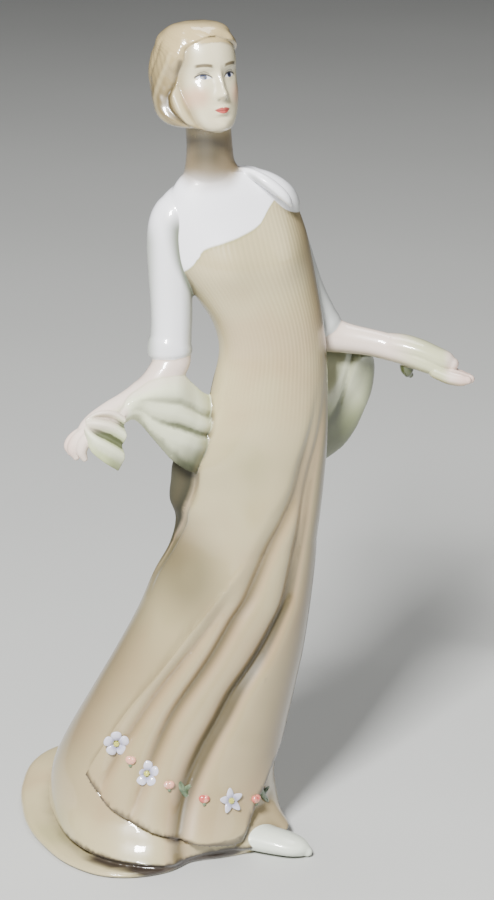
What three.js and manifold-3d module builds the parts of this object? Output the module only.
// Porcelain figurine of a standing lady in a long gown, with a shawl held across her back.
// Millimetres, +Z up. She looks towards -Y, her right hand is at -X and the train trails to -X, +Y.
// The origin is on the flat underside. The whole figure is fired as one solid.

import * as THREE from 'three';
import { mergeVertices } from 'three/addons/utils/BufferGeometryUtils.js';
import Module from 'manifold-3d';

const wasm = await Module();
wasm.setup();

const DEGREE = Math.PI / 180;

// Driving sizes

const HEM_CENTRE = [-1, 2];
const HEM_ROLL = 0.6;
const FOOT_SCALE = 0.9;
const TRAIN_UNDERCUT = 1.5;
const TRAIN_SIDES = 34;
const HEAD_SIDES = [0, 5, 10, 17, 25, 34, 45, 58, 74, 92, 112, 134, 158];
const FLARE_FRONT = 13;
const FLARE_BACK = 30;
const SHAWL_THICKNESS = 3.2;
const TAIL_THICKNESS = 3.2;
const FOLD_CREASE = 1.7;
const PETALS = 5;
const PETAL = [1.8, 1.6, 0.8];
const PETAL_REACH = 2.9;
const FLOWER_EYE = 1.5;
const LEAF = [2.6, 1.2, 0.6];
const LEAF_REACH = 1.8;
const LEAF_TURNS = [-0.9, 0.4, 1.9];
const BUD = [2.1, 1.6, 1.2];
const FLOWER_LIFT = 0.5;
const SMOOTH_HEM = 0.8;
const HEAD_CENTRE = new THREE.Vector3(12, -2.2, 300);
const HEAD_TURN = 30 * DEGREE;
const HEAD_LIFT = 7 * DEGREE;

// Where the rings of the gown lie: above the hem edge, then above the ground
const HEM_RISES = [0.9, 2.6, 6, 11, 19, 30];
const BODY_HEIGHTS = [
  52, 64, 76, 88, 100, 112, 124, 136, 148, 160, 172, 185, 197, 208,
  218, 226, 233, 240, 247, 253, 258, 262, 265.5,
];
const HEAD_HEIGHTS = [
  -20, -19, -17.8, -16.4, -14.6, -13, -11.6, -10.2, -8.6, -7, -5.2, -3, -1, 0.8, 2.8, 5,
  7.6, 10.2, 12.8, 15.2, 17.2, 18.5,
];

// Gown and blouse: height, left side, right side, middle depth, half depth, slope of the section
const BODY = [
  [10, -49, 40.5, 2, 42, 0],
  [24, -47.6, 40.4, 2, 36, 0],
  [36, -43, 41.4, 2, 32.5, 0],
  [58, -31, 46.4, 2, 28.4, 0.03],
  [74, -22, 50, 2, 25.6, 0.04],
  [91, -13.2, 52.8, 2, 23.2, 0.06],
  [107, -6.4, 55, 2, 21, 0.08],
  [118, -0.5, 56.4, 2, 20, 0.09],
  [129, 2, 57.8, 2, 19.2, 0.1],
  [137, -0.2, 58.7, 2, 18.7, 0.11],
  [145, 0.4, 59.4, 2, 18.2, 0.12],
  [153, 1.6, 60, 1.3, 17.5, 0.14],
  [161, 7.6, 60.4, 1, 16.8, 0.16],
  [170, 13, 60.5, 1, 16, 0.18],
  [184, 16.4, 60.2, 1, 14.2, 0.2],
  [197, 18.9, 59.4, 1, 12.5, 0.22],
  [208, 16.4, 58, 0.6, 12.5, 0.22],
  [219, 9.5, 56, 0.3, 13, 0.22],
  [230, 2, 54, 0, 13.4, 0.22],
  [240, -1, 51.8, 0.5, 12.8, 0.2],
  [250, -1, 48.4, 1, 11.2, 0.2],
  [257, 1.5, 46, 1.5, 10, 0.2],
  [262, 4.5, 39.5, 1.5, 8.8, 0.18],
  [266, 9, 30, 1, 7, 0.1],
];

// Hem of the skirt round HEM_CENTRE: bearing from the front, reach, height of the edge
const HEM = [
  [-180, 49, 9], [-150, 55, 16], [-130, 58.5, 18], [-116, 54.6, 12], [-99, 49.8, 9],
  [-75, 47.4, 7], [-52, 49, 5.2], [-36, 50.6, 4.4], [-20, 51.2, 4], [-5, 50.4, 3.4],
  [3, 48, 2.6], [10, 42, 2], [22, 40, 2.5], [36, 43, 3], [45, 47.4, 3], [59, 51.4, 3.5],
  [72, 50.6, 4], [85, 45, 4], [104, 43, 4.5], [120, 44, 5], [150, 46, 6], [180, 49, 9],
];

// Train lying on the ground round HEM_CENTRE: bearing, reach, height of its rim
const TRAIN = [
  [-180, 55, 5.6], [-165, 60, 7.6], [-150, 67, 9], [-136, 70.5, 9.5], [-124, 69.9, 8.6],
  [-110, 64.8, 6.4], [-92, 59, 4.4], [-64, 55.5, 3], [-41, 56.7, 2.4], [-26, 56.8, 2.2],
  [-13, 53.4, 2.2], [1, 47, 2], [13, 40, 2.5], [31, 40.8, 2.5], [48, 44, 3],
  [62, 44, 3], [75, 42, 3], [100, 40, 3], [120, 41, 4], [147, 46, 5], [168, 51, 6], [180, 55, 6],
];

// Folds of the gown: path as height and bearing, then height and depth, then the reach of the
// fold to its left and right at the low and the high end. A negative depth is a ridge.
const FOLDS = {
  border: {
    path: [[31, -43.5], [48, -39.8], [59, -37], [74, -28.5], [89, -20.4], [112, -1.8],
      [127, 6.6], [144, 25.8], [159, 34.6], [176, 50]],
    depth: [[25, -0.5], [70, -0.9], [120, -1.5], [150, -1.2], [178, 0]],
    reach: [5, 3, 9, 4],
  },
  first: {
    path: [[31, -32], [42, -30.8], [53, -28.4], [67, -23.5], [81, -15.7], [101, -2.3]],
    depth: [[10, 0.4], [24, 0.9], [40, 2.2], [70, 2.4], [92, 1.4], [106, 0]],
    reach: [2, 3.2, 2, 3],
  },
  second: {
    path: [[17, -14.8], [30, -11.3], [54, -10.6], [63, -8.2], [80, 0], [93, 6], [102, 12.6],
      [122, 20.4], [140, 38.4], [162, 46], [180, 56]],
    depth: [[12, 0.6], [22, 1.2], [40, 2.8], [80, 3.4], [120, 2.8], [160, 1.7], [184, 0]],
    reach: [2.2, 3.6, 2.4, 3.2],
  },
  third: {
    path: [[12, 8.8], [24, 11.2], [45, 16], [55, 19.5], [66, 23.3], [78, 32], [90, 40.3],
      [99, 46.3], [115, 48], [134, 51], [151, 56.3], [180, 71]],
    depth: [[8, 3], [22, 3.6], [40, 4.8], [70, 5], [110, 3.4], [150, 2], [184, 0]],
    reach: [4.6, 4.4, 2.4, 2.8],
  },
  hip: {
    path: [[10, -74], [60, -70], [92, -72], [112, -80], [121, -76], [131, -63], [140, -49],
      [150, -45], [158, -51], [167, -66], [180, -82]],
    depth: [[98, 0], [114, 1.6], [128, 3.2], [150, 3], [162, 2], [176, 0]],
    reach: [7, 2, 7, 2],
  },
  back: {
    path: [[10, 196], [60, 186], [120, 172], [150, 168]],
    depth: [[8, 3.6], [60, 2.8], [110, 1.6], [140, 0]],
    reach: [9, 9, 6, 6],
  },
  backLeft: {
    path: [[10, 226], [60, 222], [120, 206], [150, 198]],
    depth: [[8, 4], [60, 3], [110, 1.5], [138, 0]],
    reach: [8, 8, 5, 5],
  },
  backRight: {
    path: [[10, 148], [60, 150], [120, 146], [150, 144]],
    depth: [[8, 2.8], [60, 2.2], [110, 1.2], [140, 0]],
    reach: [7, 7, 5, 5],
  },
};

// Bust: centre and radius of each swell, and how far it stands out
const BUST = [
  { x: 24, z: 231, reach: 10, rise: 2.6 },
  { x: 43, z: 233, reach: 9, rise: 2.4 },
];

// Front panel of the gown: right border, free hem, and how far it stands proud of the skirt
const PANEL_RIGHT = [
  [6, 41], [12, 46], [20, 53.5], [25, 60], [31, 68], [42, 84], [73, 98], [130, 104],
];
const PANEL_HEM = [
  [-43, 32], [-35.6, 27.2], [-30.5, 24.2], [-22.2, 20.9], [-14, 18], [-5.3, 15.3],
  [2.7, 13], [9.7, 11.1], [21.7, 8.8], [38, 6.4], [44, 8], [92, 30],
];
const PANEL_PROUD = [[6, 3.9], [30, 2.8], [60, 2], [90, 1.3], [108, 0.8], [118, 0.1], [128, -1.4]];
const PANEL_SINK = 3.2;
const PANEL_TOP = 128;
const PANEL_DEPTH = 12;

// Limbs: each row is x, y, z, half width, half thickness
const NECK = [
  [17, 1, 255, 15, 8], [16.4, 0.6, 262, 11.5, 8.5], [15.9, 0, 267, 9.3, 8.8],
  [15.7, -0.4, 273, 8.6, 8.5], [15.2, -0.6, 281, 8.4, 8.6], [14, -0.8, 291, 8.2, 8.4],
];
const SHOULDERS = [
  [0.6, -2.4, 243, 4, 4], [1.8, -1.6, 248, 6.8, 6.8], [8, 0, 253.4, 8.2, 7.6], [17, 1, 256.6, 8.6, 8],
  [28, 2.4, 257.4, 8.4, 7.8], [36.5, 4, 255.6, 8, 7.4], [42.4, 6, 250.4, 7.4, 7], [44.6, 8, 243, 4, 4],
];
const RIGHT_SLEEVE = [
  [7, 0, 254, 4, 5], [4.6, -0.6, 251, 7.4, 7.8], [2.2, -1.8, 246, 8.8, 9.2], [0.9, -3.4, 238.5, 8.7, 9],
  [0.9, -6, 228, 8.2, 8.2], [1.5, -9, 213, 7.8, 7.6], [1.2, -10.8, 204, 7.8, 7.8],
  [0.7, -11.6, 200.6, 8.4, 8.4], [1, -12.2, 197.6, 8.3, 8.2], [1.1, -12.4, 196.4, 6.8, 7],
];
const RIGHT_FOREARM = [
  [2, -10.6, 201, 5.8, 5.8], [1.6, -13.4, 195, 6.8, 6.2], [-4.6, -18.2, 187.4, 6, 5.8],
  [-13, -23.4, 182.6, 5, 4.8], [-20, -28, 179.4, 5, 4.4], [-25.4, -31.6, 175.8, 5.4, 4.2],
  [-29, -33.8, 172.4, 4.8, 3.4], [-31, -34.8, 170.4, 3, 2],
];
const LEFT_SLEEVE = [
  [38, 4, 253, 4, 4.5], [40.6, 6, 249.5, 6.8, 7], [42.6, 8.6, 243, 7.6, 7.8], [46.4, 11, 232, 7.2, 7.4],
  [51.8, 14.2, 216, 6.8, 7], [56, 16, 205.5, 7.2, 7.2], [57.4, 16.7, 201.6, 8, 7.9],
  [58.2, 17, 198.8, 7.7, 7.6], [58.8, 17.1, 197.8, 6, 6],
];
const LEFT_FOREARM = [
  [54, 17, 200, 5, 5], [60, 16.8, 197.4, 6.6, 6.8], [68, 15.4, 195.8, 5.4, 5.8],
  [76, 13.8, 194.8, 4.8, 5.2], [84, 12, 193.2, 5, 5.2], [90, 10.4, 191.6, 5.6, 4.9],
  [97, 8.2, 189, 5.8, 4.4], [103, 6.8, 186.2, 5, 3.2], [105.6, 6.1, 185, 3.6, 2.2],
];

// Fingers and thumbs: each row is x, y, z, radius
const FINGERS = {
  rightIndex: [
    [-26.6, -35.6, 174.6, 2.4], [-30, -37.4, 171.4, 2.4], [-31.2, -38, 168, 2.1],
    [-30.2, -38, 165, 1.2],
  ],
  rightMiddle: [
    [-28, -34, 175, 2.5], [-32.8, -35.4, 171.4, 2.4], [-34.4, -36, 168, 2.2],
    [-33.4, -36.2, 165, 1.3],
  ],
  rightRing: [
    [-28, -31.6, 174.6, 2.4], [-33.6, -32.8, 171.6, 2.3], [-36, -33.6, 168.6, 2],
    [-35.4, -34.2, 166, 1.2],
  ],
  rightThumb: [
    [-21.6, -32, 178, 2.4], [-26, -35.6, 175, 2.2], [-29, -37, 171.6, 1.9],
    [-30.4, -37.4, 169, 1],
  ],
  leftIndex: [
    [101, 3.8, 185.8, 2.5], [106, 2.6, 184, 2.6], [110.6, 1.8, 183.2, 2.4], [113, 1.4, 183.2, 1.6],
  ],
  leftMiddle: [
    [101, 6, 186, 2.8], [107, 4.6, 184, 2.9], [111.6, 3.6, 183.2, 2.6], [114.2, 3, 183.2, 1.7],
  ],
  leftRing: [
    [101, 8.2, 186.2, 2.6], [107, 6.8, 184.2, 2.6], [111.2, 5.8, 183.4, 2.4],
    [113.6, 5.2, 183.4, 1.5],
  ],
  leftLittle: [
    [100, 9.8, 186.6, 2.2], [105.4, 8.6, 184.8, 2.2], [109, 7.8, 184.2, 2],
    [111.2, 7.2, 184.2, 1.2],
  ],
};

// Shawl behind the hips: lower and upper edge, from the right hand round the back to the left arm
const SHAWL_LOWER = [
  [-20, -29.6, 177.6], [-16.2, -28.6, 175.6], [-13, -26.6, 176.4], [-10, -24, 173.6],
  [-6.1, -22.6, 168.2], [-2.4, -20.8, 163], [1, -18.6, 158.2], [5.2, -16, 154],
  [9.5, -11.6, 150.3], [14, 8, 142], [28, 24, 133], [44, 28, 136], [56, 28.8, 140.6], [66, 28.3, 147.6],
  [71.4, 27.8, 154.8], [75.2, 27, 163.6], [78, 26, 172], [79, 24, 182], [78, 20, 189],
];
const SHAWL_UPPER = [
  [-22, -28.6, 180], [-20, -28, 182.4], [-15.6, -26, 185.2], [-10.8, -23.8, 188],
  [-6, -22, 190.6], [-1, -20, 192.6], [4.4, -17.4, 192.2], [9, -14, 187], [13.6, -9, 181.4],
  [18, 2, 178], [25, 14, 180.5], [34, 20, 184], [44, 22, 186.5], [52, 22.6, 188.5],
  [58, 22.8, 190], [62, 22.4, 191.6], [65, 21.6, 192.4], [68, 20.4, 192.6], [71, 18.4, 192.6],
];

// Shawl end gathered below the right hand, and the end laid over the left wrist
const TAIL_LOWER = [
  [-29.1, -37, 175], [-28, -39.6, 169], [-23.3, -39, 164.1], [-18, -36, 159.5],
];
const TAIL_UPPER = [
  [-29.8, -35.6, 179.5], [-25.1, -34, 182], [-20, -32, 181.6], [-15.7, -31, 179],
];
const WRIST_DRAPE = [
  [74, 15, 193.4, 3, 2.4], [81, 13.2, 194.2, 4.6, 3.8], [88, 11.2, 194.4, 5.8, 4.2],
  [95, 9.2, 193.2, 6, 3.9], [101, 7.6, 190.9, 5.6, 3.8], [105.2, 6.6, 189.3, 4.8, 3.6],
  [107.6, 6, 188.4, 3, 2.4],
];
const WRIST_TAB = [
  [91, 12, 190, 3.4, 2.4], [90.4, 11.4, 186, 3.4, 2.6], [91.2, 11, 183.6, 2.8, 2.2],
  [92, 11, 182.6, 1.4, 1.2],
];

// Shoe: each row is x, y, z, half width, half height
const SHOE = [
  [22, -19, 5, 7, 5], [31, -22.6, 5, 7.6, 5], [40, -26.2, 4.6, 7.6, 4.6],
  [46, -28.4, 4, 7.2, 4], [49.8, -29.8, 3.4, 5.9, 3.4], [52, -30.6, 2.6, 3.9, 2.6],
  [53, -31, 2.1, 2, 1.9],
];

// Head below the hair: height above the eyes, half width, front, back
const SKULL = [
  [-20, 1.6, 13.4, 9], [-18.8, 5.6, 15.8, 3], [-16.4, 9, 16.3, -5], [-12.2, 11.4, 16.2, -9.5],
  [-7, 12.8, 16, -13], [-2, 13.2, 15.4, -15.8], [2, 13.6, 15, -17], [6, 13.6, 15.6, -17.4],
  [11, 12.8, 14.2, -16.6], [14.6, 10.6, 11, -13.8], [17.4, 6.6, 6, -8.6], [18.6, 1.8, 1, -3],
];

// Face: across, up, half width, half height, rise of each soft swell or hollow
const FEATURES = [
  [0, -6, 1.9, 1.8, 2.5], [0, -3.2, 1.5, 3.4, 1.9], [0, 0.6, 1.4, 3.2, 0.8],
  [1.6, -6.6, 1, 0.9, 0.8], [-1.6, -6.6, 1, 0.9, 0.8],
  [5.4, 0.4, 2.9, 1.9, -1.4], [-5.4, 0.4, 2.9, 1.9, -1.4],
  [5.2, 0, 1.9, 1.2, 0.8], [-5.2, 0, 1.9, 1.2, 0.8],
  [5.2, 3.8, 3.6, 1.3, 0.5], [-5.2, 3.8, 3.6, 1.3, 0.5],
  [0, -11, 2.6, 0.8, 1], [0, -12.6, 2.1, 0.8, 1.1], [0, -14.4, 3, 0.9, -0.5],
  [0, -17, 2.8, 1.8, 0.9], [7.4, -5, 3, 3, 0.5], [-7.4, -5, 3, 3, 0.5],
];

// Hair: where it grows, as height and how far round it comes from each side, and how thick it is
const HAIRLINE_NEAR = [
  [-18, -56], [-15, -54], [-11, -53], [-7, -57], [-3, -60], [2, -56], [7, -51], [10.4, -48],
  [11.6, -38], [12.3, -27], [13, -15], [13.6, 0], [19, 30],
];
const HAIRLINE_FAR = [
  [-18, 150], [-12, 118], [-6, 96], [0, 90], [5, 84], [8, 74], [9.8, 56], [11.2, 36],
  [12.6, 15], [13.6, 0], [19, -10],
];
const HAIR_NEAR = [
  [-18.4, 0], [-17, 5], [-14, 7], [-9, 6.2], [-2, 4.4], [6, 2.9], [12, 1.6], [17, 1.1],
  [20, 1],
];
const HAIR_FAR = [
  [-18.4, 0], [-15.6, 1.2], [-9, 2], [-2, 2.2], [6, 2.4], [12, 2.4], [17, 1.9], [20, 1.2],
];
const LOCKS = 7;
const LOCK_RELIEF = 0.5;
const LOCK_SWEEP = 0.035;

// Flowers on the front panel: bearing, height and kind
const HEM_FLOWERS = [
  [-34, 45.6, 'flower'], [-10.5, 35, 'flower'], [34.8, 23.6, 'flower'],
  [10.5, 28, 'leaves'], [63, 18.9, 'leaves'],
  [-20.9, 39.6, 'bud'], [2.3, 31.1, 'bud'], [21, 25, 'bud'], [51, 20.4, 'bud'],
];

// Smooth curve through rows of numbers, read at a level of their first column
function along(rows, level) {
  const last = rows.length - 1;
  const x = Math.min(Math.max(level, rows[0][0]), rows[last][0]);
  let i = 0;
  while (i < last - 1 && rows[i + 1][0] < x) i += 1;
  const span = rows[i + 1][0] - rows[i][0];
  const t = (x - rows[i][0]) / span;
  const slope = (j, k) => {
    const a = rows[Math.max(j - 1, 0)];
    const b = rows[Math.min(j + 1, last)];
    return (b[k] - a[k]) / (b[0] - a[0]);
  };
  const rise = t * t * (3 - 2 * t);
  return rows[i].map((value, k) => {
    const ease = t * (1 - t) * span;
    return value + (rows[i + 1][k] - value) * rise + ease * ((1 - t) * slope(i, k) - t * slope(i + 1, k));
  });
}

// One value of such a curve
function level(rows, at, column = 1) {
  return along(rows, at)[column];
}

// Smooth curve through points, read at a fraction of its length in points
function through(points, fraction) {
  const rows = points.map((point, i) => [i / (points.length - 1), ...point]);
  return along(rows, fraction).slice(1);
}

function smooth(low, high, x) {
  const t = Math.min(Math.max((x - low) / (high - low), 0), 1);
  return t * t * (3 - 2 * t);
}

function mix(a, b, t) {
  return a + (b - a) * t;
}

// Numbers spread evenly from first to last
function spread(first, last, steps) {
  return Array.from({ length: steps + 1 }, (_, i) => mix(first, last, i / steps));
}

// Closed skin over rings of equally many points, with a fan over each end
function skin(rings) {
  const around = rings[0].length;
  const position = rings.flat().flatMap((p) => [p.x, p.y, p.z]);
  const index = [];
  const corner = (i, j) => i * around + (j % around);
  for (let i = 0; i < rings.length - 1; i += 1) {
    for (let j = 0; j < around; j += 1) {
      index.push(corner(i, j), corner(i, j + 1), corner(i + 1, j));
      index.push(corner(i, j + 1), corner(i + 1, j + 1), corner(i + 1, j));
    }
  }
  const ends = [rings[0], rings[rings.length - 1]];
  ends.forEach((ring, end) => {
    const middle = ring.reduce((sum, p) => sum.add(p), new THREE.Vector3()).divideScalar(around);
    const centre = position.length / 3;
    position.push(middle.x, middle.y, middle.z);
    const row = end === 0 ? 0 : rings.length - 1;
    for (let j = 0; j < around; j += 1) {
      const pair = [corner(row, j), corner(row, j + 1)];
      if (end === 0) pair.reverse();
      index.push(pair[0], pair[1], centre);
    }
  });
  const geometry = new THREE.BufferGeometry();
  geometry.setAttribute('position', new THREE.Float32BufferAttribute(position, 3));
  geometry.setIndex(index);
  return geometry;
}

// Closed geometry to solid and back, with the faces turned out
function toSolid(geometry) {
  const bare = geometry.clone();
  bare.deleteAttribute('normal');
  bare.deleteAttribute('uv');
  const merged = mergeVertices(bare, 1e-5);
  const vertProperties = new Float32Array(merged.attributes.position.array);
  const triVerts = new Uint32Array(merged.index.array);
  const make = () => new wasm.Manifold(new wasm.Mesh({ numProp: 3, vertProperties, triVerts }));
  const solid = make();
  if (solid.volume() > 0) return solid;
  for (let i = 0; i < triVerts.length; i += 3) {
    [triVerts[i], triVerts[i + 1]] = [triVerts[i + 1], triVerts[i]];
  }
  return make();
}

function toGeometry(solid) {
  const mesh = solid.getMesh();
  const geometry = new THREE.BufferGeometry();
  geometry.setAttribute('position', new THREE.Float32BufferAttribute(mesh.vertProperties, 3));
  geometry.setIndex(Array.from(mesh.triVerts));
  geometry.computeVertexNormals();
  return geometry;
}

// Gown and blouse

// Depth of all folds at a bearing and height of the body
function foldDepth(bearing, height, girth) {
  let depth = 0;
  for (const fold of Object.values(FOLDS)) {
    const [low, high] = [fold.path[0][0], fold.path[fold.path.length - 1][0]];
    const away = (bearing - level(fold.path, height)) * girth * DEGREE;
    const climb = smooth(low, high, height);
    const [leftLow, rightLow, leftHigh, rightHigh] = fold.reach;
    const reach = away < 0 ? mix(leftLow, leftHigh, climb) : mix(rightLow, rightHigh, climb);
    depth += level(fold.depth, height) * Math.exp(-(Math.abs(away / reach) ** FOLD_CREASE));
  }
  return depth;
}

function bustRise(x, height) {
  return BUST.reduce((sum, { x: middle, z, reach, rise }) => {
    const away = Math.hypot(x - middle, height - z) / reach;
    return sum + rise * Math.exp(-away * away);
  }, 0);
}

// Point of the body at a bearing in degrees from the front, standing out by a distance
function bodyPoint(bearing, height, out = 0, folded = 1) {
  const [, left, right, middle, depth, slope] = along(BODY, height);
  const half = (right - left) / 2;
  const sine = Math.sin(bearing * DEGREE);
  const cosine = Math.cos(bearing * DEGREE);
  let x = (left + right) / 2 + half * sine;
  let y = middle + slope * half * sine - depth * cosine;
  const normal = new THREE.Vector2(slope * half * cosine + depth * sine, -half * cosine).normalize();
  const turned = bearing < -90 ? bearing + 360 : bearing;
  const fold = turned > 125 ? turned : bearing;
  const front = smooth(0.1, 0.8, cosine);
  const fallen = folded * foldDepth(fold, height, (half + depth) / 2);
  const lift = out - fallen + front * bustRise(x, height);
  x += normal.x * lift;
  y += normal.y * lift;
  return new THREE.Vector3(x, y, height);
}

// How far the skirt draws in behind the front panel
function panelRoom(bearing, height) {
  const left = level(FOLDS.border.path, height);
  const right = level(PANEL_RIGHT, height);
  const hem = level(PANEL_HEM, bearing);
  const across = smooth(left + 1, left + 7, bearing) * (1 - smooth(right - 12, right - 4, bearing));
  const up = smooth(hem, hem + 6, height) * (1 - smooth(PANEL_TOP - 32, PANEL_TOP - 12, height));
  return PANEL_SINK * across * up;
}

// Share of its folds that the skirt keeps: it hangs smooth below the hem of the front panel
function foldShare(bearing, height) {
  const hem = level(PANEL_HEM, bearing);
  const beside = smooth(-52, -44, bearing) * (1 - smooth(60, 80, bearing));
  return 1 - SMOOTH_HEM * beside * (1 - smooth(hem - 4, hem + 12, height));
}

// Point of the skirt near its hem, where it spreads from the body to the hem outline
function skirtPoint(bearing, rise) {
  const [, reach, edge] = along(HEM, bearing);
  const height = edge + rise;
  const room = -panelRoom(bearing, height);
  const body = bodyPoint(bearing, Math.max(height, 10), room, foldShare(bearing, height));
  const hem = new THREE.Vector3(
    HEM_CENTRE[0] + reach * Math.sin(bearing * DEGREE),
    HEM_CENTRE[1] - reach * Math.cos(bearing * DEGREE),
    height,
  );
  const behind = smooth(-0.5, 0.7, -Math.cos(bearing * DEGREE));
  const upright = smooth(0, mix(FLARE_FRONT, FLARE_BACK, behind), rise);
  const point = hem.lerp(body, Math.sqrt(upright));
  point.z = height;
  return point;
}

// Bearings round the body that follow its folds, so that each fold has a row of corners
function bodyBearings(height) {
  const fold = (name) => level(FOLDS[name].path, height);
  const keys = [
    [-90, 2], [fold('hip'), 5], [fold('border'), 1], [fold('first'), 2],
    [fold('second'), 3], [fold('third'), 3], [92, 2], [fold('backRight'), 3],
    [fold('back'), 3], [fold('backLeft'), 3],
  ];
  keys.forEach((key, i) => {
    if (i > 0) key[0] = Math.max(key[0], keys[i - 1][0] + 3);
  });
  const closed = [...keys, [270, 0]];
  return keys.flatMap(([start, steps], i) => spread(start, closed[i + 1][0], steps).slice(0, -1));
}

const wrap = (bearing) => (bearing > 180 ? bearing - 360 : bearing);

function makeBody() {
  const around = bodyBearings(30);
  const foot = (scale, height) => around.map((bearing) => {
    const edge = skirtPoint(wrap(bearing), 0);
    const x = mix(HEM_CENTRE[0], edge.x, scale);
    const y = mix(HEM_CENTRE[1], edge.y, scale);
    return new THREE.Vector3(x, y, height(edge.z));
  });
  const rings = [foot(FOOT_SCALE, () => 0), foot(FOOT_SCALE, (z) => z - HEM_ROLL)];
  rings.push(foot((1 + FOOT_SCALE) / 2, (z) => z - HEM_ROLL));
  for (const rise of HEM_RISES) {
    rings.push(around.map((bearing) => skirtPoint(wrap(bearing), rise)));
  }
  for (const height of BODY_HEIGHTS) {
    rings.push(bodyBearings(height).map((bearing) => (
      bodyPoint(wrap(bearing), height, -panelRoom(wrap(bearing), height))
    )));
  }
  return skin(rings);
}

// Front panel

function panelPoint(across, up, inside) {
  const guess = mix(PANEL_HEM[0][1], PANEL_TOP, up);
  const bearings = panelBearings(guess);
  const bearingAt = (height) => {
    const list = panelBearings(height);
    const place = across * (list.length - 1);
    const i = Math.min(Math.floor(place), list.length - 2);
    return mix(list[i], list[i + 1], place - i);
  };
  let height = guess;
  let bearing = bearings[0];
  for (let turn = 0; turn < 4; turn += 1) {
    bearing = bearingAt(height);
    height = mix(level(PANEL_HEM, bearing), PANEL_TOP, up);
  }
  const proud = level(PANEL_PROUD, height) - (inside ? PANEL_DEPTH : 0);
  const point = bodyPoint(bearing, Math.max(height, 10), proud);
  point.z = height;
  return point;
}

function panelBearings(height) {
  const fold = (name) => level(FOLDS[name].path, height);
  const keys = [
    [fold('border'), 2], [fold('first'), 3], [fold('second'), 4], [fold('third'), 5],
    [Math.max(level(PANEL_RIGHT, height), fold('third') + 12), 0],
  ];
  keys.forEach((key, i) => {
    if (i > 0) key[0] = Math.max(key[0], keys[i - 1][0] + 3);
  });
  return keys.slice(0, -1).flatMap(([start, steps], i) => spread(start, keys[i + 1][0], steps).slice(0, -1))
    .concat(keys[keys.length - 1][0]);
}

function makePanel() {
  const columns = panelBearings(30).length - 1;
  const ups = [0, 0.08, 0.17, 0.27, 0.38, 0.5, 0.62, 0.74, 0.87, 1];
  const rings = ups.map((up) => {
    const front = spread(0, 1, columns).map((across) => panelPoint(across, up, false));
    const back = spread(0.98, 0.02, Math.round(columns / 2)).map((across) => panelPoint(across, up, true));
    return [...front, ...back];
  });
  return skin(rings);
}

// Train

function makeTrain() {
  const bearings = spread(-180, 180, TRAIN_SIDES).slice(0, -1);
  const ring = (scale, lift, flat) => bearings.map((bearing) => {
    const [, reach, rim] = along(TRAIN, bearing);
    const r = reach * scale - (flat ? TRAIN_UNDERCUT : 0);
    return new THREE.Vector3(
      HEM_CENTRE[0] + r * Math.sin(bearing * DEGREE),
      HEM_CENTRE[1] - r * Math.cos(bearing * DEGREE),
      flat ? 0 : rim * lift,
    );
  });
  return skin([ring(1, 0, true), ring(1, 0.55, false), ring(0.985, 1, false), ring(0.93, 1.14, false),
    ring(0.7, 1.25, false)]);
}

// Limbs

// Ring round a point of a limb, square to its path
function limbRing(centre, tangent, side, halfWidth, halfThickness, corners) {
  const across = side.clone().addScaledVector(tangent, -side.dot(tangent)).normalize();
  const over = new THREE.Vector3().crossVectors(tangent, across);
  return spread(0, 2 * Math.PI, corners).slice(0, -1).map((angle) => centre.clone()
    .addScaledVector(across, halfWidth * Math.cos(angle))
    .addScaledVector(over, halfThickness * Math.sin(angle)));
}

function makeLimb(rows, steps, corners, side) {
  const point = (t) => through(rows, t);
  const place = (t) => new THREE.Vector3(...point(t).slice(0, 3));
  const rings = spread(0, 1, steps).map((t) => {
    const tangent = place(Math.min(t + 0.01, 1)).sub(place(Math.max(t - 0.01, 0))).normalize();
    const [, , , halfWidth, halfThickness = halfWidth] = point(t);
    return limbRing(place(t), tangent, side, halfWidth, halfThickness, corners);
  });
  return skin(rings);
}

// Shawl

// Closed sheet between a lower and an upper edge, with folds that run along it and calm down
function makeSheet(lower, upper, { steps, strips, thickness, belly, folds, relief, calm }) {
  const middle = (s, v) => {
    const low = new THREE.Vector3(...through(lower, s));
    const high = new THREE.Vector3(...through(upper, s));
    return low.lerp(high, v);
  };
  const normal = (s, v) => {
    const ahead = middle(Math.min(s + 0.01, 1), v).sub(middle(Math.max(s - 0.01, 0), v));
    const up = middle(s, 1).sub(middle(s, 0));
    return new THREE.Vector3().crossVectors(ahead, up).normalize();
  };
  const surface = (s, v, side) => {
    const grown = smooth(-0.1, 0.6, s) * (1 - calm * smooth(0.6, 0.8, s));
    const fold = relief * grown * Math.sin(folds * Math.PI * 2 * v + 0.8);
    const edge = Math.sqrt(Math.max(1 - (2 * v - 1) ** 4, 0.04));
    const lift = belly * Math.sin(Math.PI * v) + fold + side * edge * thickness / 2;
    return middle(s, v).addScaledVector(normal(s, v), lift);
  };
  const rings = spread(0, 1, steps).map((s) => [
    ...spread(0, 1, strips).map((v) => surface(s, v, 1)),
    ...spread(1, 0, strips).map((v) => surface(s, v, -1)),
  ]);
  return skin(rings);
}

// Head and hair

function headFrame() {
  const turn = new THREE.Matrix4().makeRotationZ(HEAD_TURN);
  const lift = new THREE.Matrix4().makeRotationX(-HEAD_LIFT);
  return new THREE.Matrix4().setPosition(HEAD_CENTRE).multiply(turn).multiply(lift);
}

// Share of hair at a bearing round the head and a height above the eyes
function hairShare(bearing, up) {
  const near = level(HAIRLINE_NEAR, up);
  const far = level(HAIRLINE_FAR, up);
  if (far <= near) return 1;
  return 1 - smooth(near - 3, near + 3, bearing) * (1 - smooth(far - 3, far + 3, bearing));
}

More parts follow.
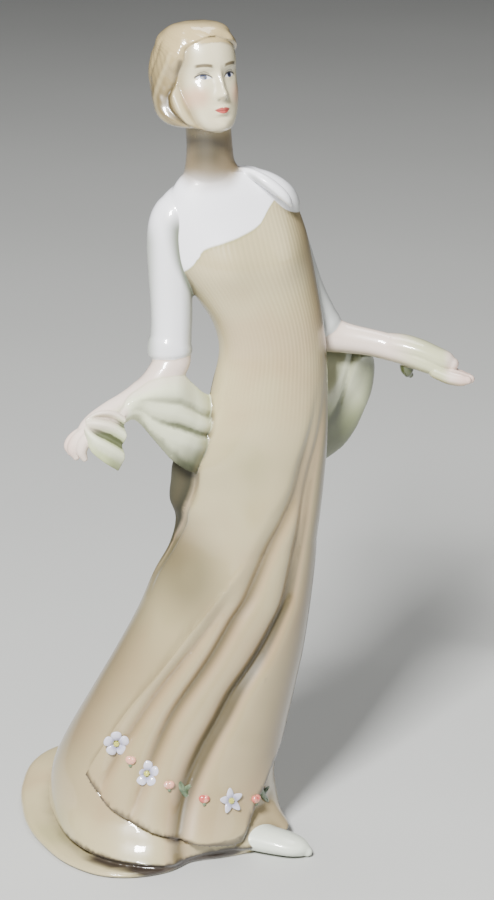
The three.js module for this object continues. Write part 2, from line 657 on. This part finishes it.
// Thickness of the hair, fuller on her right side than on her left
function hairThickness(bearing, up) {
  const far = 0.5 + 0.5 * Math.sin(bearing * DEGREE);
  const lock = LOCK_RELIEF * Math.cos(LOCKS * 2 * (bearing * DEGREE + up * LOCK_SWEEP));
  return mix(level(HAIR_NEAR, up), level(HAIR_FAR, up), far) + lock;
}

function headPoint(bearing, up) {
  const [, half, front, back] = along(SKULL, up);
  const sine = Math.sin(bearing * DEGREE);
  const cosine = Math.cos(bearing * DEGREE);
  const hair = hairShare(bearing, up);
  const grow = hair * hairThickness(bearing, up);
  const middle = (front + back) / 2;
  const x = (half + grow) * sine;
  let y = -(middle + ((front - back) / 2 + grow) * cosine);
  if (cosine > 0) {
    for (const [across, high, width, tall, rise] of FEATURES) {
      const away = ((x - across) / width) ** 2 + ((up - high) / tall) ** 2;
      y -= rise * Math.exp(-away) * (1 - hair);
    }
  }
  return new THREE.Vector3(x, y, up);
}

function makeHead() {
  const bearings = [...HEAD_SIDES.slice(1).reverse().map((b) => -b), ...HEAD_SIDES, 180];
  const crown = HEAD_HEIGHTS[HEAD_HEIGHTS.length - 1];
  const rings = HEAD_HEIGHTS.map((up) => bearings.map((bearing) => {
    const point = headPoint(bearing, up);
    point.z += smooth(crown / 3, crown, up) * level(HAIR_FAR, up);
    return point;
  }));
  return skin(rings).applyMatrix4(headFrame());
}

// Flowers, buds and leaves of the hem

function drop([length, width, thickness]) {
  return new THREE.SphereGeometry(1, 6, 3).scale(length, width, thickness);
}

// Frame on the gown at a bearing and height: across, up and out of the cloth
function hemPlace(bearing, height) {
  const onPanel = bearing < level(PANEL_RIGHT, height);
  const proud = level(PANEL_PROUD, height);
  const at = (b, h) => (onPanel ? bodyPoint(b, h, proud) : skirtPoint(b, h - along(HEM, b)[2]));
  const point = at(bearing, height);
  const side = at(bearing + 2, height).sub(at(bearing - 2, height));
  const up = at(bearing, height + 2).sub(at(bearing, height - 2));
  const out = new THREE.Vector3().crossVectors(side, up).normalize();
  const across = side.normalize();
  const over = new THREE.Vector3().crossVectors(out, across);
  return new THREE.Matrix4().makeBasis(across, over, out).setPosition(point);
}

function makeFlower(place) {
  const parts = [new THREE.SphereGeometry(FLOWER_EYE, 6, 4).translate(0, 0, FLOWER_LIFT)];
  for (let i = 0; i < PETALS; i += 1) {
    const petal = drop(PETAL).translate(PETAL_REACH, 0, FLOWER_LIFT);
    parts.push(petal.rotateZ((i + 0.25) * 2 * Math.PI / PETALS));
  }
  return parts.map((part) => part.applyMatrix4(place));
}

function makeLeaves(place) {
  return LEAF_TURNS.map((turn) => (
    drop(LEAF).translate(LEAF_REACH, 0, 0).rotateZ(turn).applyMatrix4(place)
  ));
}

function makeBud(place) {
  return [drop(BUD).applyMatrix4(place)];
}

function makeHemFlowers() {
  const makers = { flower: makeFlower, leaves: makeLeaves, bud: makeBud };
  return HEM_FLOWERS.flatMap(([bearing, height, kind]) => makers[kind](hemPlace(bearing, height)));
}

// The figure

function makeLady() {
  const xAxis = new THREE.Vector3(1, 0, 0);
  const yAxis = new THREE.Vector3(0, 1, 0);
  const forms = [
    makeBody(),
    makePanel(),
    makeTrain(),
    makeLimb(NECK, 7, 14, xAxis),
    makeLimb(SHOULDERS, 8, 10, yAxis),
    makeLimb(RIGHT_SLEEVE, 12, 10, xAxis),
    makeLimb(RIGHT_FOREARM, 9, 10, xAxis),
    makeLimb(LEFT_SLEEVE, 11, 10, xAxis),
    makeLimb(LEFT_FOREARM, 10, 10, yAxis),
    makeLimb(SHOE, 7, 10, yAxis),
    makeLimb(WRIST_DRAPE, 9, 10, yAxis),
    makeLimb(WRIST_TAB, 4, 8, yAxis),
    makeSheet(SHAWL_LOWER, SHAWL_UPPER, {
      steps: 26, strips: 7, thickness: SHAWL_THICKNESS, belly: 2.4, folds: 2, relief: 1.2, calm: 0.6,
    }),
    makeSheet(TAIL_LOWER, TAIL_UPPER, {
      steps: 6, strips: 7, thickness: TAIL_THICKNESS, belly: 1.4, folds: 2, relief: 1.3, calm: 0,
    }),
    makeHead(),
    ...Object.values(FINGERS).map((rows) => makeLimb(rows, 3, 6, yAxis)),
    ...makeHemFlowers(),
  ];
  return forms.map(toSolid).reduce((whole, solid) => whole.add(solid));
}

const porcelain = new THREE.MeshStandardMaterial({ color: 0xd3c8b2, roughness: 0.16, metalness: 0 });
const lady = new THREE.Mesh(toGeometry(makeLady()), porcelain);
lady.name = 'lady_figurine';

const figurine = new THREE.Group();
figurine.add(lady);

export default figurine;
